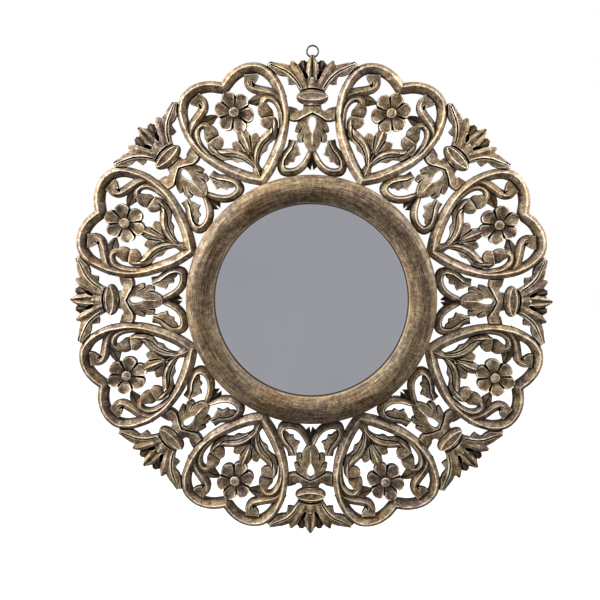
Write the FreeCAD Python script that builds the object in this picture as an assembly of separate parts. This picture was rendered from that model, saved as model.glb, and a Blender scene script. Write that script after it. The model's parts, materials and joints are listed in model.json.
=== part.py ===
import FreeCAD, Part
import math
import os

# Carved round wall mirror: a turned ring holds the glass, and eight pierced hearts and eight
# crown sprays stand round it, glued edge to edge. The mirror hangs from a strap and a wire ring.
# Millimetres. The back lies on the plane Y = 0, the front faces -Y, and +Z is up.
# The origin is the centre of the rear face of the backing board.

# Rosette
MOTIFS = 8
GLUE_LINE = 0.25

# Carved fretwork, heights measured forward from the back plane
EDGE_H = 6.5
RIDGE_H = 12.0
LEAF_H = 8.5
SCROLL_H = 10.5
BEAD_H = 11.0
BEAD_BEVEL = 3.6
UPPER_BEAD_R = 8.3
LOWER_BEAD_R = 7.8
BUD_R = 7.5
LOBE_R = 5.0
PETAL_H = 11.0
BOSS_H = 13.5
HEART_BAND_W = 13.5
HEART_RIDGE_IN = 5.0
PETALS = 6
PETAL_R = 9.4
PETAL_CIRCLE_R = 17.0
BOSS_R = 6.0
GROOVE_W = 1.6
GROOVE_DEPTH = 3.0
LOZENGE_HALF_W = 19.8
LOZENGE_HALF_TALL = 9.9
LOZENGE_BEVEL = 4.0
PIT_R = 3.4
PIT_ASIDE = 7.5
PIT_RISE = 121.0
PIT_FLOOR = 3.0
FLOWER_RISE = 95.5
LOZENGE_RISE = 95.0
CROWN_TIP = 147.2

# Turned ring
SIGHT_R = 123.2
RING_W = 35.8
RING_CREST_H = 24.0
RING_SHOULDER_H = 11.0
SIGHT_LIP_T = 1.6

# Glass, cushion and board in the two steps of the rebate
GLASS_T = 3.0
CUSHION_T = 0.6
BOARD_T = 3.0
GLASS_LAP = 7.0
BOARD_SEAT = 9.0
REBATE_CLEARANCE = 0.5

# Countersunk screws of the backing board
BOARD_SCREWS = 6
BOARD_SCREW_HEAD_R = 2.9
BOARD_SCREW_HEAD_H = 1.8
BOARD_SCREW_R = 1.4
BOARD_SCREW_L = 9.0
SCREW_CLEARANCE = 0.2

# Hanger: wire ring in the rolled eye of a strap on the back of the top crown
WIRE_R = 1.1
WIRE_RING_D = 16.4
EYE_W = 5.0
EYE_CLEARANCE = 0.3
EYE_BELOW_TIP = 2.4
STRAP_T = 1.0
STRAP_W = 9.0
STRAP_L = 34.0
STRAP_SHOULDER = 4.5
HANGER_SCREW_PITCH = 11.0
HANGER_SCREW_EDGE = 5.0
HANGER_SCREW_HEAD_R = 2.6
HANGER_SCREW_HEAD_H = 1.4
HANGER_SCREW_R = 1.3
HANGER_SCREW_L = 6.0

# The carver's drawing of the motifs was made for this ring. A heart and a crown meet at these two points
# of it, and the last list is the right edge of a heart from its point to its cleft.
DRAWN_RING_R = 159.0
HEART_MEETS_CROWN = (60.5, 61.0)
CROWN_MEETS_HEART = (28.3, 67.4)
HEART_EDGE = [(0, -3), (22, 12), (45, 36), HEART_MEETS_CROWN, (67.5, 86), (68.5, 102), (65.5, 121),
              (56, 136.5), (42, 144), (27, 145.5), (12, 142), (0, 135.5)]

PITCH = 360.0 / MOTIFS
RING_OUTER_R = SIGHT_R + RING_W
REBATE_DEPTH = BOARD_T + CUSHION_T + GLASS_T
GLASS_R = SIGHT_R + GLASS_LAP
BOARD_R = GLASS_R + BOARD_SEAT
BEND_R = WIRE_RING_D / 2 - WIRE_R
WIRE_BOW = BEND_R - math.sqrt(BEND_R ** 2 - (EYE_W / 2) ** 2)
EYE_BORE_R = WIRE_R + WIRE_BOW / 2 + EYE_CLEARANCE
EYE_R = EYE_BORE_R + STRAP_T
UP = FreeCAD.Vector(0, 0, 1)
ACROSS = FreeCAD.Vector(1, 0, 0)
CENTRE = FreeCAD.Vector(0, 0, 0)


def lean(x, y):
    """Angle between a point of the drawing and the motif's axis, at the mirror's centre."""
    return math.atan2(x, DRAWN_RING_R + y)


def on_board(x, y):
    """Place a point of the drawing: x across the motif's axis, y above the ring's edge."""
    reach = math.hypot(x, DRAWN_RING_R + y)
    fan = math.radians(PITCH / 2) / (lean(*HEART_MEETS_CROWN) + lean(*CROWN_MEETS_HEART))
    angle = lean(x, y) * fan
    radius = RING_OUTER_R + reach - DRAWN_RING_R
    return FreeCAD.Vector(radius * math.sin(angle), radius * math.cos(angle), 0)


def rail(path, inset):
    """Shift a path sideways to its left; a point on the motif's axis stays on the axis."""
    inset = inset if isinstance(inset, list) else [inset] * len(path)
    shifted = []
    for i, point in enumerate(path):
        ahead = path[min(i + 1, len(path) - 1)]
        behind = path[max(i - 1, 0)]
        run = (ahead - behind).normalize()
        left = FreeCAD.Vector(-run.y, run.x, 0)
        if abs(point.x) < 1e-6 and abs(left.y) > 0.5:
            left = FreeCAD.Vector(0, 1.0 / left.y, 0)
        shifted.append(point + left * inset[i])
    return shifted


def smooth(path, height=0.0):
    """One smooth edge through the points of a path, at a height."""
    lifted = [point + UP * height for point in path]
    if len(lifted) == 2:
        return Part.LineSegment(lifted[0], lifted[1]).toShape()
    curve = Part.BSplineCurve()
    curve.interpolate(lifted)
    return curve.toShape()


def prism(runs, top):
    """Board cut to an outline; each run of points is a line or one smooth curve."""
    edges = [smooth([on_board(*point) for point in run]) for run in runs]
    return Part.Face(Part.Wire(edges)).extrude(UP * top)


def polygon(points, top):
    """Board cut to a straight-sided outline."""
    corners = [on_board(*point) for point in points]
    return Part.Face(Part.makePolygon(corners + corners[:1])).extrude(UP * top)


def skin(rails):
    """Solid between neighbouring rails, each a path at a height, with a flat base and flat ends."""
    edges = [smooth(path, height) for path, height in rails]
    faces = [Part.makeRuledSurface(a, b) for a, b in zip(edges, edges[1:])]
    for end in (0, -1):
        corners = [path[end] + UP * height for path, height in rails]
        faces.append(Part.Face(Part.makePolygon(corners + corners[:1])))
    base = [edges[0], edges[-1]]
    for end in (0, -1):
        base.append(Part.LineSegment(rails[0][0][end], rails[-1][0][end]).toShape())
    faces.append(Part.Face(Part.Wire(Part.__sortEdges__(base))))
    shell = Part.makeShell(faces)
    shell.sewShape()
    solid = Part.makeSolid(shell)
    if solid.Volume < 0:
        solid.reverse()
    return solid


def scroll(stations, ridge=SCROLL_H):
    """Carved band with a ridge along its middle; a station is x, y and half the width."""
    path = [on_board(x, y) for x, y, half in stations]
    half = [half for x, y, half in stations]
    left = rail(path, half)
    right = rail(path, [-value for value in half])
    return skin([(left, 0), (left, EDGE_H), (path, ridge), (right, EDGE_H), (right, 0)])


def bead(x, y, radius):
    """Round end of a volute, with its rim bevelled."""
    centre = on_board(x, y)
    drum = Part.makeCylinder(radius, EDGE_H, centre)
    return drum.fuse(Part.makeCone(radius, radius - BEAD_BEVEL, BEAD_H - EDGE_H, centre + UP * EDGE_H))


def both_sides(half):
    """A half and its mirror image across the motif's axis."""
    return [half, half.mirror(CENTRE, ACROSS)]


def whole(pieces):
    """Carve the parts of a motif from one board."""
    return pieces[0].multiFuse(pieces[1:]).removeSplitter()


def heart_band():
    """Half of the heart-shaped band, ridged near its outer edge."""
    edge = [on_board(x, y) for x, y in HEART_EDGE]
    ridge = rail(edge, HEART_RIDGE_IN)
    inner = rail(edge, HEART_BAND_W)
    return skin([(edge, 0), (edge, EDGE_H), (ridge, RIDGE_H), (inner, EDGE_H), (inner, 0)])


def heart_block(margin):
    """The whole heart's outline as a block, with a margin all round."""
    edge = rail([on_board(x, y) for x, y in HEART_EDGE], -margin)
    side = smooth(edge)
    axis = Part.LineSegment(edge[-1], edge[0]).toShape()
    half = Part.Face(Part.Wire([side, axis])).extrude(UP * RING_CREST_H)
    return whole(both_sides(half))


def flower():
    """Six round petals about a raised boss, with a groove between each two."""
    centre = on_board(0, FLOWER_RISE)
    petals = [Part.makeCylinder(BOSS_R, BOSS_H, centre)]
    for i in range(PETALS):
        angle = math.radians(360.0 * i / PETALS + 90)
        spot = centre + FreeCAD.Vector(math.cos(angle), math.sin(angle), 0) * PETAL_CIRCLE_R
        petals.append(Part.makeCylinder(PETAL_R, PETAL_H, spot))
    petals.append(Part.makeCylinder(PETAL_CIRCLE_R, PETAL_H, centre))
    body = petals[0].multiFuse(petals[1:])
    for i in range(PETALS):
        cut = Part.makeBox(PETAL_CIRCLE_R + PETAL_R, GROOVE_W, GROOVE_DEPTH)
        cut.translate(FreeCAD.Vector(BOSS_R, -GROOVE_W / 2, PETAL_H - GROOVE_DEPTH))
        cut.rotate(CENTRE, UP, 360.0 * (i + 0.5) / PETALS + 90)
        cut.translate(centre)
        body = body.cut(cut)
    return body


def heart_half():
    """Scrolls and leaves on the right side of a heart."""
    leaf_band = scroll([(1, 20, 4), (3, 31, 4), (9, 41, 4.5), (18, 49.5, 4.5), (28, 53.5, 5),
                        (37, 58.5, 5), (39.5, 66, 4.5), (35, 72, 4)])
    leaf = polygon([(3, 20), (8, 31), (13, 35.5), (20, 36.5), (24, 42), (33, 44.5), (40, 44),
                    (44, 58), (36, 58), (20, 50), (8, 40)], LEAF_H)
    stem = scroll([(52, 60, 5), (55.5, 74, 5), (55, 86, 4.5), (50, 94, 4.5), (42, 96.5, 4.5), (36, 93, 4)])
    branch = scroll([(61, 91, 5), (52, 101, 5), (41, 106.5, 5), (32, 112, 5), (27, 119.5, 5.5),
                     (26.5, 128, 5.5), (31, 137, 5)])
    leaflet = polygon([(21, 99), (29, 104.5), (38, 104), (38, 96), (30, 92)], LEAF_H)
    beads = [bead(34, 84, UPPER_BEAD_R), bead(30.5, 69, LOWER_BEAD_R), bead(34.5, 122.5, BUD_R)]
    return [leaf_band, leaf, stem, branch, leaflet] + beads


def heart():
    """One pierced heart medallion."""
    stalk = scroll([(0, 6, 6), (0, 20, 5), (0, 37, 4)])
    calyx = polygon([(0, 34), (17, 54), (16, 61), (8, 60), (5.5, 70), (-5.5, 70), (-8, 60),
                     (-16, 61), (-17, 54)], LEAF_H)
    right = whole([heart_band()] + heart_half())
    middle = whole([stalk, calyx, flower()])
    return whole(both_sides(right) + [middle])


def lozenge():
    """Oval boss with a bevelled rim."""
    centre = on_board(0, LOZENGE_RISE)
    rims = []
    for inset, height in ((0, 0), (0, EDGE_H), (LOZENGE_BEVEL, RIDGE_H)):
        oval = Part.Ellipse(centre + UP * height, LOZENGE_HALF_W - inset, LOZENGE_HALF_TALL - inset)
        rims.append(Part.Wire(oval.toShape()))
    return Part.makeLoft(rims, True, True)


def crown_half():
    """Scroll, leaves and bracket on the right side of a crown spray."""
    foot = scroll([(1, 28, 4.5), (6, 17, 4.5), (12.5, 9, 4.5), (21, 4, 4.5), (30, 3, 5), (37.5, 8, 5.5),
                   (36, 17, 5), (30.5, 25, 5.5), (24.5, 32.5, 4.5), (22.5, 42, 4)])
    frill = polygon([(32, 13), (27, 15), (22, 16), (20, 22.5), (14, 25), (16, 28), (17, 34), (20, 38),
                     (24, 36), (34, 20)], LEAF_H)
    bracket = prism([[(0, 77.5), (10, 70), (19, 64.5)], [(19, 64.5), (40, 70)], [(40, 70), (40, 83)],
                     [(40, 83), (28, 83.5), (20, 82), (14, 79)], [(14, 79), (10, 83), (10, 90)],
                     [(10, 90), (0, 90)], [(0, 90), (0, 77.5)]], SCROLL_H)
    pendant = polygon([(0, 27), (6, 31), (9, 37), (11, 40.5), (15, 39.5), (19, 44), (17, 52),
                       (21.5, 53), (20, 59), (16, 66), (0, 78)], LEAF_H)
    side_leaf = prism([[(0, 98), (11, 104), (17, 110)], [(17, 110), (24, 110.5), (30, 111)],
                       [(30, 111), (31, 120)], [(31, 120), (48, 120)], [(48, 120), (60, 130), (55, 138)],
                       [(55, 138), (45, 135.5), (30, 134)], [(30, 134), (27, 140), (21, 138)],
                       [(21, 138), (14, 128), (8, 118)], [(8, 118), (0, 114)], [(0, 114), (0, 98)]], SCROLL_H)
    lobe = bead(11, 135, LOBE_R)
    head = polygon([(0, 104), (11, 112), (15.5, 124), (17, 134), (0, 138)], EDGE_H)
    bud = polygon([(0, 22), (5.5, 8), (3, 5), (0, 4.5)], LEAF_H)
    return [foot, frill, bracket, pendant, side_leaf, lobe, head, bud]


def crown():
    """One pierced crown spray, before it is fitted between its hearts."""
    tip = scroll([(0, 104, 7), (0, 122, 5), (0, 136, 6), (0, CROWN_TIP, 1)], RIDGE_H)
    pieces = [tip, lozenge()]
    for part in crown_half():
        pieces += both_sides(part)
    body = whole(pieces)
    hole = prism([[(0, 71.5), (4, 65), (3, 57), (0, 52)], [(0, 52), (-3, 57), (-4, 65), (0, 71.5)]], RIDGE_H)
    body = body.cut(hole)
    for side in (-1, 1):
        pit = Part.makeCylinder(PIT_R, RIDGE_H, on_board(side * PIT_ASIDE, PIT_RISE) + UP * PIT_FLOOR)
        body = body.cut(pit)
    return body


def stand_up(shape, turn):
    """Turn a motif from the carver's bench to its place on the upright mirror."""
    placed = shape.copy()
    placed.rotate(CENTRE, ACROSS, 90)
    placed.rotate(CENTRE, FreeCAD.Vector(0, 1, 0), turn)
    return placed


def rosette():
    """Hearts and crowns, each fitted to the ring and to its neighbours."""
    ring_seat = Part.makeCylinder(RING_OUTER_R + GLUE_LINE, RING_CREST_H)
    one_heart = heart().cut(ring_seat)
    one_crown = crown().cut(ring_seat)
    for side in (-1, 1):
        neighbour = heart_block(GLUE_LINE)
        neighbour.rotate(CENTRE, UP, side * PITCH / 2)
        one_crown = one_crown.cut(neighbour)
    top_crown = one_crown
    for spot in hanger_screw_spots():
        pilot = Part.makeCylinder(HANGER_SCREW_R + SCREW_CLEARANCE, HANGER_SCREW_L + SCREW_CLEARANCE, spot)
        top_crown = top_crown.cut(pilot)
    parts = {}
    for i in range(MOTIFS):
        spray = one_crown if i else top_crown
        parts["heart_medallion_%d" % (i + 1)] = stand_up(one_heart, PITCH * (i + 0.5))
        parts["crown_spray_%d" % (i + 1)] = stand_up(spray, PITCH * i)
    return parts


def turned(profile):
    """Solid turned about the mirror's axis from a closed profile of edges in the X-Z plane."""
    return Part.Face(Part.Wire(profile)).revolve(CENTRE, UP, 360)


def lines(*corners):
    """Straight edges through corners given as radius and height."""
    spots = [FreeCAD.Vector(radius, 0, height) for radius, height in corners]
    return [Part.LineSegment(a, b).toShape() for a, b in zip(spots, spots[1:])]


def board_screw_spots():
    """Centres of the board's screws, in the middle of the seat outside the glass."""
    radius = (GLASS_R + REBATE_CLEARANCE + BOARD_R) / 2
    spots = []
    for i in range(BOARD_SCREWS):
        angle = math.radians(360.0 * (i + 0.5) / BOARD_SCREWS)
        spots.append(FreeCAD.Vector(radius * math.sin(angle), radius * math.cos(angle), 0))
    return spots


def board_screw(spot, play=0.0):
    """Countersunk screw with its head at the back; play makes it the hole for the screw."""
    shank = Part.makeCylinder(BOARD_SCREW_R + play, BOARD_SCREW_L + play, spot)
    return shank.fuse(Part.makeCone(BOARD_SCREW_HEAD_R + play, BOARD_SCREW_R + play,
                                    BOARD_SCREW_HEAD_H, spot))


def ring_moulding():
    """Half-round ring, rebated in two steps behind its sight lip."""
    lip = REBATE_DEPTH + SIGHT_LIP_T
    glass_wall = GLASS_R + REBATE_CLEARANCE
    board_wall = BOARD_R + REBATE_CLEARANCE
    crest = FreeCAD.Vector((SIGHT_R + RING_OUTER_R) / 2, 0, RING_CREST_H)
    shoulder = FreeCAD.Vector(RING_OUTER_R, 0, RING_SHOULDER_H)
    sight = FreeCAD.Vector(SIGHT_R, 0, lip)
    profile = [Part.Arc(shoulder, crest, sight).toShape()]
    profile += lines((SIGHT_R, lip), (SIGHT_R, REBATE_DEPTH), (glass_wall, REBATE_DEPTH),
                     (glass_wall, BOARD_T), (board_wall, BOARD_T), (board_wall, 0),
                     (RING_OUTER_R, 0), (RING_OUTER_R, RING_SHOULDER_H))
    ring = turned(profile)
    for spot in board_screw_spots():
        ring = ring.cut(board_screw(spot, SCREW_CLEARANCE))
    return ring


def backing_board():
    """Hardboard disc in the rear step of the rebate, countersunk for its screws."""
    board = Part.makeCylinder(BOARD_R, BOARD_T)
    for spot in board_screw_spots():
        board = board.cut(board_screw(spot, SCREW_CLEARANCE))
    return board


def glazing():
    """Ring, glass and what holds the glass in."""
    screws = [board_screw(spot) for spot in board_screw_spots()]
    parts = {
        "ring_moulding": ring_moulding(),
        "mirror_glass": Part.makeCylinder(GLASS_R, GLASS_T, UP * (BOARD_T + CUSHION_T)),
        "glass_cushion": Part.makeCylinder(GLASS_R, CUSHION_T, UP * BOARD_T),
        "backing_board": backing_board(),
        "backing_screws": Part.makeCompound(screws),
    }
    return {name: stand_up(shape, 0) for name, shape in parts.items()}


def hanger_eye():
    """Middle of the strap's eye, behind the tip of the top crown."""
    return FreeCAD.Vector(0, RING_OUTER_R + CROWN_TIP - EYE_BELOW_TIP, -EYE_R)


def hanger_screw_spots():
    """Where the screws go through the strap, from its lower end up."""
    lower = hanger_eye().y - STRAP_L + HANGER_SCREW_EDGE
    return [FreeCAD.Vector(0, lower + HANGER_SCREW_PITCH * i, -STRAP_T) for i in range(2)]


def hanger_ring():
    """Ring bent from round wire, upright, its lowest stretch bowed a little in the eye."""
    rise = BEND_R - WIRE_BOW / 2
    return Part.makeTorus(BEND_R, WIRE_R, hanger_eye() + FreeCAD.Vector(0, rise, 0), UP)


def hanger_strap():
    """Flat strap on the crown's back; its narrower tongue is rolled into an eye round the ring."""
    eye = hanger_eye()
    foot = FreeCAD.Vector(0, eye.y - STRAP_L, -STRAP_T)
    plate = Part.makeBox(STRAP_W, STRAP_L - STRAP_SHOULDER, STRAP_T, foot - ACROSS * (STRAP_W / 2))
    tongue = Part.makeBox(EYE_W, STRAP_L, STRAP_T, foot - ACROSS * (EYE_W / 2))
    start = eye - ACROSS * (EYE_W / 2)
    roll = Part.makeCylinder(EYE_R, EYE_W, start, ACROSS)
    strap = plate.multiFuse([tongue, roll]).cut(Part.makeCylinder(EYE_BORE_R, EYE_W, start, ACROSS))
    for spot in hanger_screw_spots():
        strap = strap.cut(Part.makeCylinder(HANGER_SCREW_R + SCREW_CLEARANCE, STRAP_T, spot))
    return strap.removeSplitter()


def hanger_screw(spot):
    """Pan-head screw, its head on the back of the strap."""
    head = Part.makeCylinder(HANGER_SCREW_HEAD_R, HANGER_SCREW_HEAD_H, spot - UP * HANGER_SCREW_HEAD_H)
    return head.fuse(Part.makeCylinder(HANGER_SCREW_R, HANGER_SCREW_L, spot))


def hanger():
    """Wire ring, strap and screws on the back of the top crown."""
    screws = [hanger_screw(spot) for spot in hanger_screw_spots()]
    parts = {
        "hanger_strap": hanger_strap(),
        "hanger_ring": hanger_ring(),
        "hanger_screws": Part.makeCompound(screws),
    }
    return {name: stand_up(shape, 0) for name, shape in parts.items()}


def main():
    os.makedirs("parts", exist_ok=True)
    parts = {**glazing(), **rosette(), **hanger()}
    for name, shape in parts.items():
        shape.exportStep("parts/%s.step" % name)


main()
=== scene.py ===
import json
import math
import bmesh
import bpy
from mathutils import Matrix, Vector, geometry, noise

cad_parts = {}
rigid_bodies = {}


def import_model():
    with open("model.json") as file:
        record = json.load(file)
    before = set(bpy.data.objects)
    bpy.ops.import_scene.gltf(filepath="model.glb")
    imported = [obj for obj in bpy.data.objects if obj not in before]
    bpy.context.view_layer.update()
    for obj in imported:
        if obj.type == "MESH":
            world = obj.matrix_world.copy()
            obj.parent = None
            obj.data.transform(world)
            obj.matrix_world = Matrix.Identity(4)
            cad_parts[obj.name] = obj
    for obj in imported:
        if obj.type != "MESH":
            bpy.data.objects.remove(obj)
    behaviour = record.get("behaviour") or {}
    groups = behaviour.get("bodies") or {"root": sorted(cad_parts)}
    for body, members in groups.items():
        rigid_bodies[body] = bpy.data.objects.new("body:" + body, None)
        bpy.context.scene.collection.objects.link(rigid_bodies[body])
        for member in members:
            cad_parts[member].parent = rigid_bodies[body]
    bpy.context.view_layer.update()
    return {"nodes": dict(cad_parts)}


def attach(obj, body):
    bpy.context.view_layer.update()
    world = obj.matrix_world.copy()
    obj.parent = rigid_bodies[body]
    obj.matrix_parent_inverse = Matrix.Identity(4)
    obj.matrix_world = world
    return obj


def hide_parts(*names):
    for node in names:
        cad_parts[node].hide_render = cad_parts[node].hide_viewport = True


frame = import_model()
# Eight heart medallions of carved hardwood, glued edge to edge round the ring. Each is sawn from one board and
# carved by hand: a ridged band, a six-petal flower on a stalk, and leaf scrolls that end in volutes and hooks.
# Dark ground colour goes on first, and the gold is rubbed over it, so that it stays on what stands proud. Painted
# shade darkens the hollows and low parts further, and a painted highlight lightens the ridges.
mm = 0.001
motifs = 8
pitch = 2 * math.pi / motifs
ring_r = 159.0
edge_h = 6.2
band_h = 12.0
crisp = math.radians(24)
drift_seed = 1
noise.seed_set(drift_seed)


def drawn_line(stations, gap=1.7):
    """A smooth line through stations of the carver's drawing; a station's widths and heights run along with it."""
    knots = [Vector(station) for station in stations]
    line = [knots[0]]
    for i in range(len(knots) - 1):
        a, b = knots[i], knots[i + 1]
        span = (b - a).xy.length
        leave, arrive = b - a, b - a
        if i > 0:
            leave = (b - knots[i - 1]) * (span / (span + (a - knots[i - 1]).xy.length))
        if i < len(knots) - 2:
            arrive = (knots[i + 2] - a) * (span / (span + (knots[i + 2] - b).xy.length))
        steps = max(1, round(span / gap))
        for k in range(1, steps + 1):
            t = k / steps
            line.append(a * (2 * t ** 3 - 3 * t ** 2 + 1) + leave * (t ** 3 - 2 * t ** 2 + t)
                        + b * (3 * t ** 2 - 2 * t ** 3) + arrive * (t ** 3 - t ** 2))
    return line


def ridged(ridge=0.0, belly=0.0):
    """Section of a carved band: across from -1 to 1, and height as a share between the edge and the ridge."""
    section = [(-1, None), (-1, 0.0)]
    section += [(-1 + (ridge + 1) * t, t + belly * 4 * t * (1 - t)) for t in (0.3, 0.65)]
    section.append((ridge, 1.0))
    section += [(1 + (ridge - 1) * t, t + belly * 4 * t * (1 - t)) for t in (0.65, 0.3)]
    return section + [(1, 0.0), (1, None)]


def lengthened(bm, end, corners):
    """Carry the end of a length of wood on to its next section."""
    grown = bmesh.ops.extrude_face_region(bm, geom=[end])["geom"]
    if len(end.edges[0].link_faces) > 2:
        bm.faces.remove(end)
    end = [part for part in grown if isinstance(part, bmesh.types.BMFace)][0]
    for vert, corner in zip(end.verts, corners):
        vert.co = corner
    return end


def swept(stations, section, edge=edge_h, base=0.0, gap=1.7):
    """Carve a band along a line; a station is x, distance from the mirror's centre, half width and top height."""
    line = drawn_line(stations, gap)
    bm = bmesh.new()
    end = None
    for i, spot in enumerate(line):
        run = (line[min(i + 1, len(line) - 1)] - line[max(i - 1, 0)]).xy.normalized()
        corners = []
        for across, share in section:
            height = base if share is None else edge + (spot[3] - edge) * share
            corners.append((spot[0] - run.y * spot[2] * across, spot[1] + run.x * spot[2] * across, height))
        if end is None:
            end = bm.faces.new([bm.verts.new(corner) for corner in corners])
            continue
        end = lengthened(bm, end, corners)
    bmesh.ops.recalc_face_normals(bm, faces=bm.faces)
    return bm


def turned(profile, steps=28):
    """Turn a round piece from its profile of radius and height."""
    bm = bmesh.new()
    verts = [bm.verts.new((r, 0, h)) for r, h in profile]
    edges = [bm.edges.new(pair) for pair in zip(verts, verts[1:])]
    bmesh.ops.spin(bm, geom=verts + edges, axis=(0, 0, 1), cent=(0, 0, 0), angle=2 * math.pi, steps=steps,
                   use_merge=True)
    bmesh.ops.remove_doubles(bm, verts=bm.verts, dist=0.001)
    bmesh.ops.recalc_face_normals(bm, faces=bm.faces)
    return bm


def domed(x, v, across, along, lean, edge, top, flat=0.66):
    """Round-edged knob, turned by lean degrees on the drawing; flat is the share left flat on top."""
    profile = [(0, 0), (1, 0), (1, edge)]
    for k in range(1, 6):
        turn = k * math.pi / 10
        profile.append((flat + (1 - flat) * math.cos(turn), edge + (top - edge) * math.sin(turn)))
    bm = turned(profile + [(0, top - 0.4)])
    place = Matrix.Translation((x, v, 0)) @ Matrix.Rotation(math.radians(lean), 4, "Z")
    bmesh.ops.transform(bm, matrix=place @ Matrix.Diagonal((across, along, 1, 1)), verts=bm.verts)
    return bm


def pared(bm, face, thickness, rise):
    """Take one bevel off round a leaf's face, less in its corners and narrow tips, and raise what is left."""
    starts = [vert.co.copy() for vert in face.verts]
    sides = list(zip(starts, starts[1:] + starts[:1]))
    bmesh.ops.inset_region(bm, faces=[face], thickness=thickness, use_even_offset=False)
    for i, (vert, start) in enumerate(zip(face.verts, starts)):
        others = [side for k, side in enumerate(sides) if (k - i) % len(sides) not in (0, len(sides) - 1)]
        move = vert.co - start
        for share in (1, 0.8, 0.6, 0.4, 0.2, 0.1):
            spot = start + move * share
            gaps = []
            for a, b in others:
                along = min(1, max(0, geometry.intersect_point_line(spot, a, b)[1]))
                gaps.append((spot - a.lerp(b, along)).length)
            if min(gaps) > 0.85 * share * move.length:
                break
        vert.co = spot
        vert.co.z += rise


def leaf(runs, top, edge=edge_h, round_off=1.1, tilt=(0, 0, 0, 0), base=0.0):
    """Leaf cut to a drawn outline of smooth runs, with its rim rounded; tilt slopes its face about a point."""
    bm = bmesh.new()
    outline = []
    for run in runs:
        outline += drawn_line(run, 1.4)[:-1]
    face = bm.faces.new([bm.verts.new((spot[0], spot[1], base)) for spot in outline])
    grown = bmesh.ops.extrude_face_region(bm, geom=[face])["geom"]
    face = [part for part in grown if isinstance(part, bmesh.types.BMFace)][0]
    bmesh.ops.translate(bm, verts=face.verts, vec=(0, 0, edge - base))
    pared(bm, face, round_off * 0.35, (top - edge) * 0.7)
    pared(bm, face, round_off * 0.65, (top - edge) * 0.3)
    for vert in bm.verts:
        if vert.co.z > edge - 0.01:
            vert.co.z += tilt[0] * (vert.co.x - tilt[2]) + tilt[1] * (vert.co.y - tilt[3])
    bmesh.ops.recalc_face_normals(bm, faces=bm.faces)
    return bm


def groove(stations, gap=1.5):
    """Cutter for a V-shaped groove; a station is x, distance from the centre, half width and floor height."""
    line = drawn_line(stations, gap)
    bm = bmesh.new()
    end = None
    for i, spot in enumerate(line):
        run = (line[min(i + 1, len(line) - 1)] - line[max(i - 1, 0)]).xy.normalized()
        corners = []
        for across, rise in ((0, 0.0), (1, 4.0), (1.6, 20.0), (-1.6, 20.0), (-1, 4.0)):
            corners.append((spot[0] - run.y * spot[2] * across, spot[1] + run.x * spot[2] * across, spot[3] + rise))
        if end is None:
            end = bm.faces.new([bm.verts.new(corner) for corner in corners])
            continue
        end = lengthened(bm, end, corners)
    bmesh.ops.recalc_face_normals(bm, faces=bm.faces)
    return bm


def other_side(bm):
    """The same carving on the other side of the motif's axis."""
    twin = bm.copy()
    bmesh.ops.scale(twin, vec=(-1, 1, 1), verts=twin.verts)
    bmesh.ops.recalc_face_normals(twin, faces=twin.faces)
    return twin


def half_only(bm):
    """Keep a band to its own side of the axis, just past it."""
    geom = bm.verts[:] + bm.edges[:] + bm.faces[:]
    cut = bmesh.ops.bisect_plane(bm, geom=geom, plane_co=(-0.1, 0, 0), plane_no=(1, 0, 0), clear_inner=True)
    rim = [part for part in cut["geom_cut"] if isinstance(part, bmesh.types.BMEdge)]
    bmesh.ops.holes_fill(bm, edges=rim, sides=0)
    bmesh.ops.recalc_face_normals(bm, faces=bm.faces)
    return bm


def carved(name, forms, cuts, knobs):
    """Work the forms of a motif, its cuts and the knobs that stand over them into one piece of wood."""
    sets = []
    for label, batch in (("forms", forms), ("cuts", cuts), ("knobs", knobs)):
        group = bpy.data.collections.new(name + "_" + label)
        for bm in batch:
            bmesh.ops.triangulate(bm, faces=bm.faces)
            mesh = bpy.data.meshes.new(label)
            bm.to_mesh(mesh)
            bm.free()
            group.objects.link(bpy.data.objects.new(label, mesh))
        sets.append(group)
    block = sets[0].objects[0]
    sets[0].objects.unlink(block)
    bpy.context.scene.collection.objects.link(block)
    for operation, group in zip(("UNION", "DIFFERENCE", "UNION"), sets):
        if group.objects:
            work = block.modifiers.new(operation.lower(), "BOOLEAN")
            work.operation = operation
            work.operand_type = "COLLECTION"
            work.collection = group
            work.solver = "MANIFOLD"
    bpy.context.view_layer.update()
    mesh = bpy.data.meshes.new_from_object(block.evaluated_get(bpy.context.evaluated_depsgraph_get()))
    for old in [block] + [part for group in sets for part in group.objects]:
        bpy.data.meshes.remove(old.data)
    for group in sets:
        bpy.data.collections.remove(group)
    bm = bmesh.new()
    bm.from_mesh(mesh)
    bmesh.ops.triangulate(bm, faces=bm.faces)
    bm.to_mesh(mesh)
    bm.free()
    return mesh


heart_edge = [(-6, 152.4), (0, 156), (22, 171), (45, 195), (60.5, 220), (67.5, 245), (68.5, 261), (65.5, 280),
              (56, 295.5), (42, 303), (27, 304.5), (12, 301), (0, 294.5), (-13, 286.5)]


def heart_outline(margin):
    """The heart's whole outline as a block of wood, with a margin all round."""
    bm = bmesh.new()
    line = drawn_line([(x, v, 0) for x, v in heart_edge[1:-1]], 1.7)
    side = []
    for i, spot in enumerate(line):
        run = (line[min(i + 1, len(line) - 1)] - line[max(i - 1, 0)]).xy.normalized()
        side.append((max(spot.x + run.y * margin, 0), spot.y - run.x * margin, -5))
    twin = [(-x, v, h) for x, v, h in reversed(side[1:-1])]
    face = bm.faces.new([bm.verts.new(spot) for spot in side + twin])
    grown = bmesh.ops.extrude_face_region(bm, geom=[face])["geom"]
    bmesh.ops.translate(bm, verts=[part for part in grown if isinstance(part, bmesh.types.BMVert)], vec=(0, 0, 40))
    bmesh.ops.recalc_face_normals(bm, faces=bm.faces)
    return bm


def ring_seat():
    """The ring's round outside, which the motifs are cut to fit."""
    bm = bmesh.new()
    bmesh.ops.create_cone(bm, cap_ends=True, segments=360, radius1=ring_r + 0.05, radius2=ring_r + 0.05, depth=60)
    return bm


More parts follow.
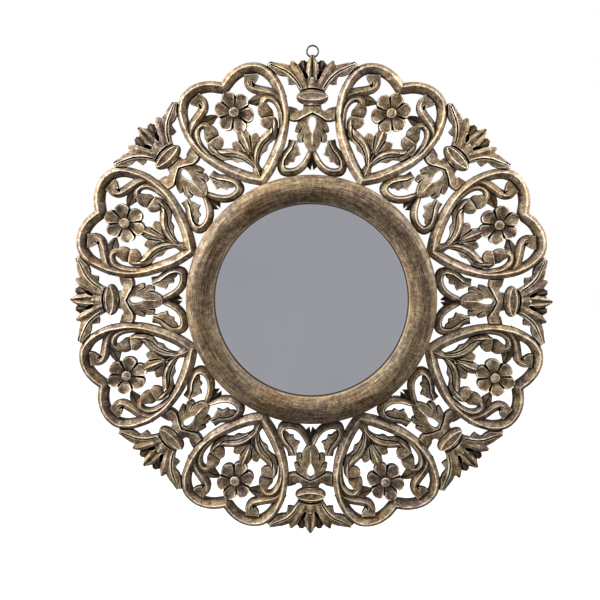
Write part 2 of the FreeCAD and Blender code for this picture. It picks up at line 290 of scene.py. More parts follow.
def heart_band():
    """Half of the band: a steep outer bevel, a sharp ridge, and a wide slope down to the inside."""
    line = drawn_line([(x, v, w, r) for (x, v), w, r in zip(
        heart_edge, (15.5, 15, 14.5, 13.6, 12.4, 12.4, 12.6, 13, 13.6, 14, 14, 14, 14, 14),
        (7, 7, 6.8, 6.4, 5.8, 5.4, 5.2, 4.8, 4.4, 4.2, 4.2, 4.4, 4.6, 4.6))], 1.7)
    bm = bmesh.new()
    end = None
    for i, spot in enumerate(line):
        run = (line[min(i + 1, len(line) - 1)] - line[max(i - 1, 0)]).xy.normalized()
        wide, ridge = spot[2], spot[3]
        slope = wide - ridge
        corners = []
        for inward, height in ((0, 0), (0, 7.6), (ridge * 0.5, 9.9), (ridge - 0.2, 12.0), (ridge + 0.3, band_h + 0.1),
                               (ridge + slope * 0.35, 10.1), (ridge + slope * 0.7, 8.5), (wide, 7.3), (wide, 0)):
            corners.append((spot[0] - run.y * inward, spot[1] + run.x * inward, height))
        if end is None:
            end = bm.faces.new([bm.verts.new(corner) for corner in corners])
            continue
        end = lengthened(bm, end, corners)
    bmesh.ops.recalc_face_normals(bm, faces=bm.faces)
    return half_only(bm)


def petal(turn):
    """One petal: a shallow spoon that rises from the boss to its rim and rounds over at the edge."""
    dish = [(-1, None), (-1, 0.0), (-0.96, 0.7), (-0.88, 1.0), (-0.4, 0.62), (0, 0.5),
            (0.4, 0.62), (0.88, 1.0), (0.96, 0.7), (1, 0.0), (1, None)]
    bm = swept([(0, 2, 5.5, 8.2), (0, 8, 7.4, 8.6), (0, 14, 9.6, 10), (0, 18.6, 10.2, 11.2), (0, 22.4, 8.8, 11.7),
                (0, 24.8, 6.2, 11.4), (0, 26.4, 2.2, 10)], dish, edge=7.8)
    place = Matrix.Translation((0.3, 254.5, 0)) @ Matrix.Diagonal((0.9, 1, 1, 1)) @ Matrix.Rotation(turn, 4, "Z")
    bmesh.ops.transform(bm, matrix=place, verts=bm.verts)
    return bm


def heart_forms():
    """Everything carved on one heart, and the grooves that part its leaves."""
    right = [
        heart_band(),
        swept([(-2.5, 172, 4.6, 9), (0.2, 184, 4.2, 10.6), (3.6, 193, 4.2, 11), (9.6, 201.8, 4.6, 11.2),
               (18, 208.8, 4.8, 11), (27, 212.4, 5.0, 10.8), (36, 216, 5.2, 10.8), (41, 222, 4.8, 10.8),
               (42.2, 228, 3.8, 10.8), (40, 231, 2.2, 9.2)], ridged(0.0), edge=7.4),
        leaf([[(1.6, 180), (8, 189.5), (13, 194), (20, 195.8)], [(20, 195.8), (22, 198), (24.5, 201.6)],
              [(24.5, 201.6), (29, 203.2), (35, 204.2), (43, 202)], [(43, 202), (44, 209), (43.4, 219)],
              [(43.4, 219), (36, 220), (30, 214), (16, 209), (7, 199), (1.6, 180)]], 9.6, edge=8.4, round_off=0.8,
             tilt=(-0.07, 0.05, 22, 205)),
        leaf([[(27.2, 223.6), (25.4, 229.4), (28.4, 235.4)], [(28.4, 235.4), (37, 234), (45.6, 231.6)],
              [(45.6, 231.6), (44, 226), (40, 222)], [(40, 222), (36, 219.8), (31, 220.2), (27.2, 223.6)]],
             10.5, edge=9.2, round_off=1.6, tilt=(0, 0.09, 35, 229)),
        swept([(47, 206, 5.0, 9.4), (51.4, 220, 5.0, 10.6), (55.2, 234, 5.0, 11), (54.6, 245, 4.8, 11),
               (50, 252.8, 4.8, 11), (43, 255.4, 4.8, 10.8), (37, 251.6, 4.6, 10.6), (34.4, 246.6, 3, 8.2)],
              ridged(0.15), edge=7.4),
        leaf([[(28.8, 234.8), (27.6, 241), (29, 246.6), (33, 251.6), (37.4, 254.6)],
              [(37.4, 254.6), (41.4, 251.6), (43, 248)],
              [(43, 248), (44, 243.6), (45.6, 239), (44.4, 232.4)], [(44.4, 232.4), (36.8, 233.8), (28.8, 234.8)]],
             9.6, edge=7.8, round_off=2.2, tilt=(0, 0.08, 36, 244)),
        swept([(64, 245, 6.0, 9.8), (57, 255.4, 6.0, 10.8), (48, 262.6, 5.8, 11.2), (39, 268.2, 5.8, 11.2),
               (32.4, 273.8, 5.8, 11.2), (30.4, 280.4, 5.2, 10.6), (32.4, 285.4, 5, 10), (35, 288.6, 4.4, 9.4)],
              ridged(0.1), edge=7.4),
        leaf([[(26.6, 280), (27.2, 286), (30, 292.6)], [(30, 292.6), (38.2, 289.7), (46.4, 286.8)],
              [(46.4, 286.8), (44.4, 282.4), (39.6, 278.4)], [(39.6, 278.4), (37.4, 277.4), (35.6, 277)],
              [(35.6, 277), (31, 276.6), (26.6, 280)]], 10, edge=8.8, round_off=0.8),
        leaf([[(19.4, 258.2), (24, 261.4), (29, 263.4)], [(29, 263.4), (36, 264), (42, 261)],
              [(42, 261), (40, 256), (37, 251)], [(37, 251), (33, 251), (29.8, 250.8)],
              [(29.8, 250.8), (25, 254.4), (19.4, 258.2)]], 8, edge=7.2, round_off=0.8),
        leaf([[(1, 200), (9, 207), (15.4, 210.6)], [(15.4, 210.6), (17.8, 215), (16.8, 221)],
              [(16.8, 221), (12, 221.4), (8.2, 219.6)], [(8.2, 219.6), (6, 228), (1, 229)],
              [(1, 229), (0.6, 215), (1, 200)]], 9.4, edge=8.2, round_off=0.8, tilt=(-0.06, 0, 8, 214)),
    ]
    middle = [
        swept([(0, 158, 5.4, 8), (0, 171, 5.2, 10), (0, 183, 4.6, 10.8), (0, 194, 3.2, 11), (0, 202, 1.2, 9.8)],
              ridged(), edge=5.4),
        swept([(0, 195, 1.2, 8.6), (0, 208, 3.6, 10.8), (0, 220, 5.8, 11.4), (0, 231, 6.2, 10.4)], ridged(0, 0.04)),
    ]
    middle += [petal(k * math.pi / 3) for k in range(6)]
    cuts = [groove([(3.4, 182, 0.9, 6.5), (8, 192, 0.9, 5), (13, 198, 0.95, 4.8), (20, 203.8, 0.95, 4.8),
                    (28, 207.6, 0.95, 4.8), (33.6, 212.2, 0.95, 5), (37, 217.8, 0.9, 5.4), (38.2, 224.4, 0.9, 6.4)]),
            groove([(2.6, 202, 0.7, 6.5), (5.2, 212, 1.1, 4.8), (7.4, 221.4, 1.2, 4.2)]),
            groove([(35.6, 273.6, 1.6, 2), (35.2, 277.4, 1.2, 4.4), (36, 281.2, 0.8, 7)]),
            groove([(32.6, 202.4, 1.0, 4.6), (39.4, 208.8, 1.2, 3.8), (43.8, 216.2, 1.2, 3.8),
                    (46.6, 223, 0.9, 4.6)]),
            groove([(28.2, 294, 0.7, 6.2), (38.5, 290.4, 0.8, 5.8), (48.8, 286.8, 0.7, 6.2)]),
            groove([(26, 236.2, 0.6, 5.6), (37, 234.6, 0.6, 5.6), (48, 232, 0.6, 5.6)]),
            groove([(21.6, 258, 0.9, 5.6), (29, 257.8, 1.0, 5), (37, 257, 0.9, 5.4)])]
    sides = [groove([(math.sin(t) * 5.8 + 0.3, 254.5 + math.cos(t) * 6.4, 0.8, 6.4),
                     (math.sin(t) * 12.6 + 0.3, 254.5 + math.cos(t) * 14, 1.2, 3.6),
                     (math.sin(t) * 20.8 + 0.3, 254.5 + math.cos(t) * 23, 1.7, 1.6)])
             for t in [math.pi / 6 + k * math.pi / 3 for k in range(6)]]
    boss = domed(0.5, 254.5, 6.2, 6.2, 0, 10.4, 12.2, 0.8)
    forms = middle + right + [other_side(form) for form in right]
    cuts = sides + cuts + [other_side(cut) for cut in cuts] + [ring_seat()]
    return forms, cuts, [boss]


def put(tree, kind, inputs=(), **settings):
    """Add a node to a finish; inputs are pairs of a socket and the number, colour or output that feeds it."""
    node = tree.nodes.new(kind)
    for key, value in settings.items():
        setattr(node, key, value)
    for socket, value in inputs:
        if isinstance(value, bpy.types.NodeSocket):
            tree.links.new(value, node.inputs[socket])
        else:
            node.inputs[socket].default_value = value
    return node


def sum_of(tree, operation, a, b):
    """One sum between two numbers or outputs."""
    return put(tree, "ShaderNodeMath", [(0, a), (1, b)], operation=operation).outputs[0]


def blend(tree, share, a, b):
    """Colour a where share is 0, colour b where it is 1."""
    mix = put(tree, "ShaderNodeMix", [(0, share), (6, a), (7, b)], data_type="RGBA")
    return mix.outputs[2]


def spread(tree, value, low, high, start=0.0, end=1.0):
    """Stretch a value between low and high to run from start to end."""
    return put(tree, "ShaderNodeMapRange", [("Value", value), ("From Min", low), ("From Max", high),
                                            ("To Min", start), ("To Max", end)]).outputs["Result"]


def mottle(tree, spots, scale, detail=4.0, rough=0.6):
    """Cloudy unevenness of a hand-rubbed finish, scale in patches to the metre."""
    return put(tree, "ShaderNodeTexNoise", [("Vector", spots), ("Scale", scale), ("Detail", detail),
                                            ("Roughness", rough)]).outputs["Fac"]


def rubbed_wood(name, pale, bronze, ground, low, steep, blotch, streaks=None):
    """Gold rubbed by hand over a dark brown ground: pale on worn ridges with a painted highlight along them, brown in
    the cuts and darker in hollows as painted shade, dark on sawn sides.

    low is the share of gold left below the ridges, partly painted shade, steep the share on steep slopes, and blotch
    the unevenness.
    """
    # Heights from the back of the ridge tops, the leaf floors and the start of the pale ridge lines. Below the first
    # two the finish is darker: partly gold rubbed off low parts, partly painted shade.
    ridge_line = (-0.0118, -0.0108)
    leaf_floor = (-0.0084, -0.0072)
    wear_and_highlight_rise = (-0.008, -0.0104)
    paint = bpy.data.materials.new(name)
    paint.use_nodes = True
    tree = paint.node_tree
    shader = tree.nodes["Principled BSDF"]
    place = put(tree, "ShaderNodeTexCoord")
    spots = place.outputs["Object"]
    clouds = mottle(tree, spots, 48, 5, 0.62)
    patches = mottle(tree, spots, 150, 5, 0.68)
    specks = mottle(tree, spots, 700, 3, 0.6)
    # Painted shade: occlusion darkens the hollows and the corners between the carved forms.
    shade_occlusion = put(tree, "ShaderNodeAmbientOcclusion", [("Distance", 0.006)], samples=8, only_local=True)
    # Inside occlusion finds sharp ridges and edges, which are lightened: worn gold, and a painted highlight along
    # them.
    ridge = put(tree, "ShaderNodeAmbientOcclusion", [("Distance", 0.0019)], samples=8, only_local=True, inside=True)
    height = put(tree, "ShaderNodeSeparateXYZ", [(0, spots)])
    facing = put(tree, "ShaderNodeSeparateXYZ", [(0, place.outputs["Normal"])])
    front = sum_of(tree, "MULTIPLY", spread(tree, facing.outputs["Y"], -0.16, -0.42),
                   spread(tree, facing.outputs["Y"], -0.5, -0.84, steep, 1.0))
    # Gold left in the cuts: painted shade from the occlusion, and less gold low down, which is partly real rubbing
    # and partly painted shade.
    cut = sum_of(tree, "MULTIPLY", sum_of(tree, "POWER", shade_occlusion.outputs["AO"], 2.6),
                 spread(tree, height.outputs["Y"], *ridge_line, 1.0, low))
    cut = sum_of(tree, "MULTIPLY", cut, spread(tree, height.outputs["Y"], *leaf_floor, 1.0, 0.3))
    worn_and_highlit = sum_of(tree, "MULTIPLY", spread(tree, ridge.outputs["AO"], 0.92, 0.66),
                  spread(tree, height.outputs["Y"], *wear_and_highlight_rise))
    rub = sum_of(tree, "ADD", spread(tree, clouds, 0.3, 0.7, 0.12 - 0.22 * blotch, 0.12 + 0.22 * blotch),
                 spread(tree, patches, 0.32, 0.68, 0.4 - 0.52 * blotch, 0.4 + 0.52 * blotch))
    rub = sum_of(tree, "ADD", rub, spread(tree, specks, 0.36, 0.64, -0.34 * blotch, 0.34 * blotch))
    if streaks:
        rub = sum_of(tree, "ADD", rub, streaks(tree, spots))
    rub = sum_of(tree, "ADD", rub, sum_of(tree, "MULTIPLY", worn_and_highlit, 0.72))
    reach = put(tree, "ShaderNodeVectorMath", [(0, spots)], operation="LENGTH")
    rub = sum_of(tree, "ADD", rub, spread(tree, reach.outputs["Value"], 0.17, 0.3, 0.08, -0.1))
    rub = sum_of(tree, "MULTIPLY", sum_of(tree, "MULTIPLY", rub, cut), front)
    warmth = mottle(tree, spots, 26, 3, 0.55)
    tint = put(tree, "ShaderNodeValToRGB", [("Fac", warmth)])
    hues = tint.color_ramp.elements
    hues[0].position, hues[0].color = 0.36, (bronze[0] * 0.82, bronze[1] * 0.74, bronze[2] * 0.98, 1)
    hues[1].position, hues[1].color = 0.66, (bronze[0] * 1.18, bronze[1] * 0.99, bronze[2] * 0.74, 1)
    hues.new(0.5).color = (*bronze, 1)
    gold = blend(tree, spread(tree, rub, 0.42, 0.98), tint.outputs["Color"], (*pale, 1))
    face = blend(tree, spread(tree, rub, 0.0, 0.42), (*ground, 1), gold)
    bare = blend(tree, spread(tree, patches, 0.3, 0.7), (0.07, 0.042, 0.024, 1), (0.15, 0.094, 0.054, 1))
    tree.links.new(blend(tree, spread(tree, facing.outputs["Y"], 0.4, 0.8), face, bare), shader.inputs["Base Color"])
    tree.links.new(spread(tree, rub, 0.1, 0.9, 0.72, 0.42), shader.inputs["Roughness"])
    shader.inputs["Metallic"].default_value = 0
    shader.inputs["Specular IOR Level"].default_value = 0.2
    shader.inputs["Specular Tint"].default_value = (1, 0.9, 0.72, 1)
    relief = sum_of(tree, "ADD", sum_of(tree, "MULTIPLY", specks, 0.4), patches)
    bump = put(tree, "ShaderNodeBump", [("Height", relief), ("Strength", 0.45), ("Distance", 0.0007)])
    tree.links.new(bump.outputs["Normal"], shader.inputs["Normal"])
    return paint


def hung(name, mesh, turn, seed, paint, stands_for):
    """Stand a carved motif up in its place on the mirror, with small hand-made unevenness, the same in every run."""
    wave, wander, lift = 21, 0.55, 0.45
    mesh = mesh.copy()
    mesh.name = name
    for vert in mesh.vertices:
        drift = noise.noise_vector(vert.co / wave + Vector((seed * 7.3, 0, 0)))
        hold = min(1, max(0, (300 - vert.co.xy.length) / 20), max(0, (vert.co.xy.length - ring_r - 1) / 10))
        vert.co.x += drift.x * wander * hold
        vert.co.y += drift.y * wander * hold
        if vert.co.z > 1:
            vert.co.z += drift.z * lift
    stand = Matrix(((mm, 0, 0, 0), (0, 0, -mm, 0), (0, mm, 0, 0), (0, 0, 0, 1)))
    mesh.transform(Matrix.Rotation(turn, 4, "Y") @ stand)
    for face in mesh.polygons:
        face.use_smooth = True
    mesh.set_sharp_from_angle(angle=crisp)
    mesh.materials.clear()
    mesh.materials.append(paint)
    piece = bpy.data.objects.new(name, mesh)
    bpy.context.scene.collection.objects.link(piece)
    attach(piece, "frame")
    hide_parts(*stands_for)
    return piece


aged_gold = rubbed_wood("aged_gold", pale=(0.74, 0.64, 0.48), bronze=(0.205, 0.145, 0.085),
                        ground=(0.009, 0.006, 0.0045), low=0.78, steep=0.66, blotch=0.64)
heart_mesh = carved("heart", *heart_forms())
for i in range(motifs):
    hung("carved_heart_%d" % (i + 1), heart_mesh, pitch * (i + 0.5), i + 1, aged_gold,
         ["heart_medallion_%d" % (i + 1)])
bpy.data.meshes.remove(heart_mesh)


# Eight crown sprays of the same wood fill the gaps between the hearts: a fan of leaves on an oval boss, a
# bracket, a hanging leaf with a pierced drop, and two scrolls whose feet are glued to the ring.
lozenge_v = 254


def lozenge():
    """Oval boss: a sloping rim that rises to a lens-shaped edge, with the lens hollowed a little."""
    bm = bmesh.new()
    bmesh.ops.create_circle(bm, cap_ends=True, segments=48, radius=1)
    face = bm.faces[:][0]
    turns = [math.atan2(vert.co.y, vert.co.x) for vert in face.verts]
    loops = ((19.8, 10, 0, 6, 0), (19.6, 9.8, 0.1, 7.2, 0), (18.4, 4.8, 1.5, 11.7, 0.45),
             (17.4, 4.2, 1.5, 11.2, 0.5), (9, 2, 1.5, 10.8, 0.6))
    for vert in bm.verts:
        vert.co = (vert.co.x * loops[0][0], vert.co.y * loops[0][1], 0)
    for wide, tall, rise, height, lens in loops:
        spots = []
        for t in turns:
            belly = 1 - lens + lens * abs(math.sin(t))
            spots.append((wide * math.cos(t), rise + tall * math.sin(t) * belly, height))
        face = lengthened(bm, face, spots)
    bmesh.ops.recalc_face_normals(bm, faces=bm.faces)
    bmesh.ops.translate(bm, verts=bm.verts, vec=(0, lozenge_v, 0))
    return bm


def crown_forms():
    """Everything carved on one crown, and the cuts that part its leaves and fit it to its neighbours."""
    right = [
        leaf([[(-0.2, 250), (8, 258), (12, 264.6), (16, 268.8)], [(16, 268.8), (20, 271.2), (24, 269.4), (30, 269.6)],
              [(30, 269.6), (30.4, 275), (31.6, 279.6)], [(31.6, 279.6), (40, 280.4), (56, 288)],
              [(56, 288), (56, 294), (52.4, 296.8)], [(52.4, 296.8), (45, 294.4), (36, 293.4), (28.4, 293.4)],
              [(28.4, 293.4), (27, 296), (25, 298.8)], [(25, 298.8), (21.4, 296), (18, 293.2)],
              [(18, 293.2), (16.4, 295.6), (14.8, 297.4)], [(14.8, 297.4), (11, 299), (7, 297)],
              [(7, 297), (4.4, 300), (-0.2, 305.4)], [(-0.2, 305.4), (-0.2, 250)]], 7, edge=6.4, round_off=0.6),
        swept([(4.5, 258, 5, 9.6), (4.4, 274, 4.2, 10.4), (3.8, 287, 4.0, 10.9), (2.8, 296, 3.2, 10.8),
               (0.5, 305.6, 0.5, 8.2)], ridged(-0.1), edge=9),
        swept([(5.5, 274, 3.5, 7.6), (9, 284, 4.4, 7.8), (11.2, 291.6, 5.0, 8.2), (11.8, 299, 2.8, 7.4)],
              ridged(0.1), edge=6.6),
        swept([(3, 254, 6.4, 9.6), (9.4, 268, 6.6, 11), (16, 279, 7.4, 11.6), (21.4, 288.8, 6.4, 11.4),
               (26, 298.4, 1.4, 8.6)], ridged(0.2), edge=9),
        swept([(8, 256, 4.8, 9.2), (15.6, 271.6, 5.6, 10.8), (24.4, 281.6, 6.6, 11.4), (34.4, 288.2, 6.2, 11),
               (44.6, 292.4, 4.0, 10), (53, 296.8, 0.8, 8)], ridged(-0.3), edge=9),
        leaf([[(3, 250), (12, 264.6), (16, 268.8)], [(16, 268.8), (20, 271.2), (24, 269.4), (30, 269.6)],
              [(30, 269.6), (30.4, 275), (31.6, 279.6)], [(31.6, 279.6), (40, 280.4), (56, 288)],
              [(56, 288), (55, 294), (51.4, 295.4)], [(51.4, 295.4), (36, 289), (24, 281), (14, 268), (3, 250)]],
             9.8, edge=8.6, round_off=0.7, tilt=(0, 0.06, 30, 280)),
        half_only(swept([(-5, 243.4, 7, 10.6), (0, 241.4, 7, 11.4), (10, 236.4, 7, 11.4), (20, 232.2, 8.6, 11),
                         (27, 233.8, 8.6, 10.4), (38, 236, 8.6, 9.8)], ridged(-0.7), edge=7.6)),
        leaf([[(-0.2, 236), (10, 231), (17, 225)], [(17, 225), (20.2, 218.4), (21.6, 212.2)],
              [(21.6, 212.2), (19.4, 210.8), (16.8, 210.8)], [(16.8, 210.8), (19, 207), (18.6, 202.6)],
              [(18.6, 202.6), (16.6, 199.2), (13.6, 198.6), (11, 199.6)], [(11, 199.6), (9.2, 195.4), (6.6, 190.8)],
              [(6.6, 190.8), (3, 188.2), (-0.2, 187.6)], [(-0.2, 187.6), (-0.2, 236)]], 10,
             edge=8.4, round_off=1.0, tilt=(-0.11, 0, 6, 210)),
        swept([(-1.6, 191, 3.6, 8.6), (2.6, 184.4, 4.2, 10), (6.8, 176, 4.5, 11), (12.6, 168.2, 4.8, 11.2),
               (20, 163.2, 5.0, 11.2), (28.4, 161.4, 5.2, 11.2), (35.6, 163, 5.6, 11.2), (38.6, 169.6, 5.0, 11),
               (36.8, 177.6, 4.6, 10.8), (32, 185.8, 4.5, 10.6), (26.8, 192.6, 4.4, 10.2), (24.4, 201.6, 4.6, 9)],
              ridged(0.45), edge=6.6),
        leaf([[(30.4, 170.6), (28.6, 172.6), (26.8, 174.4)], [(26.8, 174.4), (23.6, 174.2), (21.8, 175.4)],
              [(21.8, 175.4), (21.4, 179), (19.8, 181.6)], [(19.8, 181.6), (16.6, 182.6), (13.8, 184.2)],
              [(13.8, 184.2), (15.8, 186.8), (16.4, 190), (17, 193)], [(17, 193), (18.6, 196), (17.4, 201.6)],
              [(17.4, 201.6), (24, 202)], [(24, 202), (26, 192), (33, 183), (37, 172)],
              [(37, 172), (33, 170), (30.4, 170.6)]], 9.4, edge=8.2, round_off=0.8, tilt=(-0.05, 0, 24, 185)),
    ]
    middle = [
        swept([(0, 243, 11, 8.6), (0, 254, 10.4, 10), (0, 264, 12, 11.4), (0, 271, 9.5, 11.6), (0, 278, 5.4, 11.2)],
              ridged(0, 0.12), edge=8.4),
        swept([(0, 237, 8.5, 9.6), (0, 243, 10, 10.4), (0, 252, 10.6, 9.6)], ridged(0, 0.1), edge=6),
        swept([(0, 186, 4.6, 9), (0, 194, 6.4, 10.8), (0, 204, 7, 11.4), (0, 214, 6.4, 11), (0, 233, 5, 9.6)],
              ridged(), edge=6.8),
        swept([(0, 187, 1.6, 6.4), (0, 178, 3.8, 7.4), (0, 171, 6.2, 7.8), (0, 167.8, 5.4, 7.4),
               (0, 163.6, 0.6, 5.8)], ridged(), edge=4.6),
    ]
    saw_top, saw_edge, saw_foot = 20, 16, -5
    drop = leaf([[(0, 211), (3.0, 217), (4.4, 223.6), (3.4, 228.8), (0, 230.8), (-3.4, 228.8), (-4.4, 223.6),
                  (-3.0, 217), (0, 211)]], saw_top, edge=saw_edge, base=saw_foot)
    cuts = [
        groove([(51.6, 294, 0.7, 5), (42, 289.8, 0.8, 5), (31, 284.4, 0.9, 4.8), (22, 276.4, 0.9, 5),
                (14.4, 265.6, 0.9, 6)]),
        groove([(7.4, 287, 0.5, 7.6), (7.2, 293, 0.6, 7), (6.4, 299.4, 0.8, 6)]),
        groove([(12.6, 285.6, 0.8, 5.4), (15.4, 291, 0.8, 5.6), (17.4, 296, 0.9, 5)]),
        groove([(17.4, 209.6, 1.1, 4), (14.6, 213.6, 1.1, 5.2), (11.4, 220, 0.7, 7.4)]),
        groove([(11.2, 197.6, 1.1, 4), (11.8, 203, 1.1, 5.2), (10.4, 210, 0.7, 7.4)]),
        groove([(20.4, 200.4, 0.8, 5), (24, 191.4, 0.9, 4.8), (29.6, 184.2, 0.9, 4.8), (34.2, 176.4, 0.9, 5.2),
                (35, 170.6, 0.8, 6.6)]),
        groove([(-1, 234.6, 0.9, 6), (9, 230, 1.0, 5), (18.6, 223.6, 1.1, 4)]),
        domed(15.4, 242.4, 4.2, 4.4, 0, 16, 18),
        groove([(20.4 * math.cos(math.radians(turn)), lozenge_v + 10.6 * math.sin(math.radians(turn)), 1.5, 6.6)
                for turn in range(-96, 97, 12)]),
    ]
    pit_floor = 1.6
    cuts.append(leaf([[(4.6, 277.4), (6.6, 275.4), (10.6, 279.2), (13.4, 287)],
                      [(13.4, 287), (8.8, 285.2), (5.8, 281.6), (4.6, 277.4)]],
                     saw_top, edge=saw_edge, base=pit_floor))
    cuts.append(leaf([[(-0.2, 158), (1, 160), (1.1, 167), (-0.2, 172)], [(-0.2, 172), (-0.2, 158)]],
                     saw_top, edge=saw_edge, base=saw_foot))
    cuts += [other_side(cut) for cut in cuts]
    cuts += [drop, groove([(0, 281, 0.6, 9), (0, 290, 0.8, 7), (0, 300, 0.8, 6), (0, 306, 0.8, 5)]), ring_seat()]
    for side in (-1, 1):
        neighbour = heart_outline(0.05)
        seam = groove([(x, v, 0.75, 4.6) for x, v in heart_edge[2:-2]])
        turned_seam = other_side(seam)
        for bm in (neighbour, seam, turned_seam):
            bmesh.ops.rotate(bm, cent=(0, 0, 0), matrix=Matrix.Rotation(side * pitch / 2, 3, "Z"), verts=bm.verts)
        cuts += [neighbour, seam, turned_seam]
    return middle + right + [other_side(form) for form in right], cuts, [lozenge()]


crown_mesh = carved("crown", *crown_forms())
for i in range(motifs):
    hung("carved_crown_%d" % (i + 1), crown_mesh, pitch * i, i + 11, aged_gold, ["crown_spray_%d" % (i + 1)])
bpy.data.meshes.remove(crown_mesh)


# Half-round ring, turned on the lathe from the same wood and glued inside the hearts and crowns. It is rubbed
# with a warmer bronze, so the finish runs in streaks round the ring, with short dark strokes across it.
mould_r, mould_y = 0.1411, -0.008
lip_highlight_r = (0.1252, 0.1238)


def turning_streaks(tree, spots):
    """Streaks along the ring and fine strokes across it, from the angle round the mirror and round the moulding, and
    a painted highlight on the inner lip.
    """
    at = put(tree, "ShaderNodeSeparateXYZ", [(0, spots)])
    reach = sum_of(tree, "SQRT", sum_of(tree, "ADD", sum_of(tree, "MULTIPLY", at.outputs["X"], at.outputs["X"]),
                                        sum_of(tree, "MULTIPLY", at.outputs["Z"], at.outputs["Z"])), 0.0)
    rise = sum_of(tree, "SUBTRACT", mould_y, at.outputs["Y"])
    lean = sum_of(tree, "ARCTAN2", rise, sum_of(tree, "SUBTRACT", reach, mould_r))
    total = None
    strokes = ((5.0, 18.0, -0.4, 0.22), (38.0, 2.4, -0.18, 0.08), (2.2, 1.4, -0.22, 0.12))
    for along, across, low, high in strokes:
        line = put(tree, "ShaderNodeCombineXYZ", [
            (0, sum_of(tree, "MULTIPLY", sum_of(tree, "DIVIDE", at.outputs["X"], reach), along)),
            (1, sum_of(tree, "MULTIPLY", sum_of(tree, "DIVIDE", at.outputs["Z"], reach), along)),
            (2, sum_of(tree, "MULTIPLY", lean, across))])
        stroke = spread(tree, mottle(tree, line.outputs[0], 1.0, 4, 0.6), 0.3, 0.66, low, high)
        total = stroke if total is None else sum_of(tree, "ADD", total, stroke)
    # Painted highlight: the ring's inner lip is made paler all round.
    return sum_of(tree, "ADD", total, spread(tree, reach, *lip_highlight_r, 0.0, 0.7))


def finished(node, paint):
    """Give a piece that keeps its shape its own finish."""
    slots = frame["nodes"][node].data.materials
    slots.clear()
    slots.append(paint)


ring_bronze = rubbed_wood("ring_bronze", pale=(0.32, 0.243, 0.145), bronze=(0.08, 0.0535, 0.031),
                          ground=(0.016, 0.0105, 0.0075), low=1.0, steep=0.98, blotch=0.32, streaks=turning_streaks)
finished("ring_moulding", ring_bronze)

# Float glass, silvered behind, laid in the inner step of the ring's rebate from the back. Its cut edge is hidden,
# a faint haze from wiping is all that tells it from a perfect mirror, and a painted shadow darkens it where it meets
# the ring.
rim_shadow_r = (0.1217, 0.1226)
silver = bpy.data.materials.new("silvered_glass")
silver.use_nodes = True
tree = silver.node_tree
shader = tree.nodes["Principled BSDF"]
spots = put(tree, "ShaderNodeTexCoord").outputs["Object"]
haze = mottle(tree, spots, 9, 3, 0.5)
at = put(tree, "ShaderNodeSeparateXYZ", [(0, spots)])
reach = sum_of(tree, "SQRT", sum_of(tree, "ADD", sum_of(tree, "MULTIPLY", at.outputs["X"], at.outputs["X"]),
                                    sum_of(tree, "MULTIPLY", at.outputs["Z"], at.outputs["Z"])), 0.0)
clear = blend(tree, spread(tree, haze, 0.35, 0.65), (0.87, 0.88, 0.885, 1), (0.91, 0.915, 0.915, 1))
# Painted shadow: a dark band on the glass at its edge, next to the ring.
rim_shadowed = blend(tree, spread(tree, reach, *rim_shadow_r), clear, (0.07, 0.065, 0.065, 1))
tree.links.new(rim_shadowed, shader.inputs["Base Color"])
tree.links.new(spread(tree, haze, 0.3, 0.7, 0.012, 0.03), shader.inputs["Roughness"])
shader.inputs["Metallic"].default_value = 1
finished("mirror_glass", silver)

# Cushion: a disc of brown kraft paper, cut to the size of the glass and laid loose behind it. It keeps the hard
# board off the silvering, and the board holds it in place.


def plain(name, deep, light, scale, metal, rough, grain):
    """A plain finish of two close colours in cloudy patches, with a fine grain to the touch."""
    paint = bpy.data.materials.new(name)
    paint.use_nodes = True
    tree = paint.node_tree
    shader = tree.nodes["Principled BSDF"]
    spots = put(tree, "ShaderNodeTexCoord").outputs["Object"]
    patches = mottle(tree, spots, scale, 5, 0.65)
    cloudy = blend(tree, spread(tree, patches, 0.32, 0.68), (*deep, 1), (*light, 1))
    tree.links.new(cloudy, shader.inputs["Base Color"])
    tree.links.new(spread(tree, patches, 0.3, 0.7, rough + 0.1, rough - 0.06), shader.inputs["Roughness"])
    shader.inputs["Metallic"].default_value = metal
    bump = put(tree, "ShaderNodeBump", [("Height", mottle(tree, spots, grain, 3, 0.6)), ("Strength", 0.3),
                                        ("Distance", 0.0003)])
    tree.links.new(bump.outputs["Normal"], shader.inputs["Normal"])
    return paint


kraft_paper = plain("kraft_paper", deep=(0.3, 0.2, 0.11), light=(0.42, 0.3, 0.18), scale=160, metal=0,
                    rough=0.8, grain=900)
finished("glass_cushion", kraft_paper)

# Backing board: a disc of brown hardboard in the outer step of the rebate. It closes the back and presses on the
# cushion, and its holes are countersunk for the screws.
hardboard = plain("hardboard", deep=(0.14, 0.075, 0.035), light=(0.21, 0.12, 0.06), scale=60, metal=0,
                  rough=0.6, grain=1400)
finished("backing_board", hardboard)

# Six countersunk screws of zinc-plated steel, through the board's edge into the ring. Their heads lie flush with
# the board, and each is left at its own turn of the cross recess.
screw_ring_r = 0.13495
board_screws = 6
countersunk = [(0, 0), (2.9, 0), (1.4, 1.8), (1.4, 8), (0, 9)]
turned_edge = math.radians(30)


def screw(profile, recess):
    """A turned steel screw with a cross recess cut in its head; recess is the height of the head's face."""
    arms = []
    for wide, long in ((0.8, 3.2), (3.2, 0.8)):
        arm = bmesh.new()
        bmesh.ops.create_cube(arm, size=1)
        for vert in arm.verts:
            taper = 1.0 if vert.co.z < 0 else 0.55
            vert.co = (vert.co.x * wide * taper, vert.co.y * long * taper, recess + 0.45 + vert.co.z * 1.5)
        arms.append(arm)
    return carved("screw", [turned(profile)], arms, [])


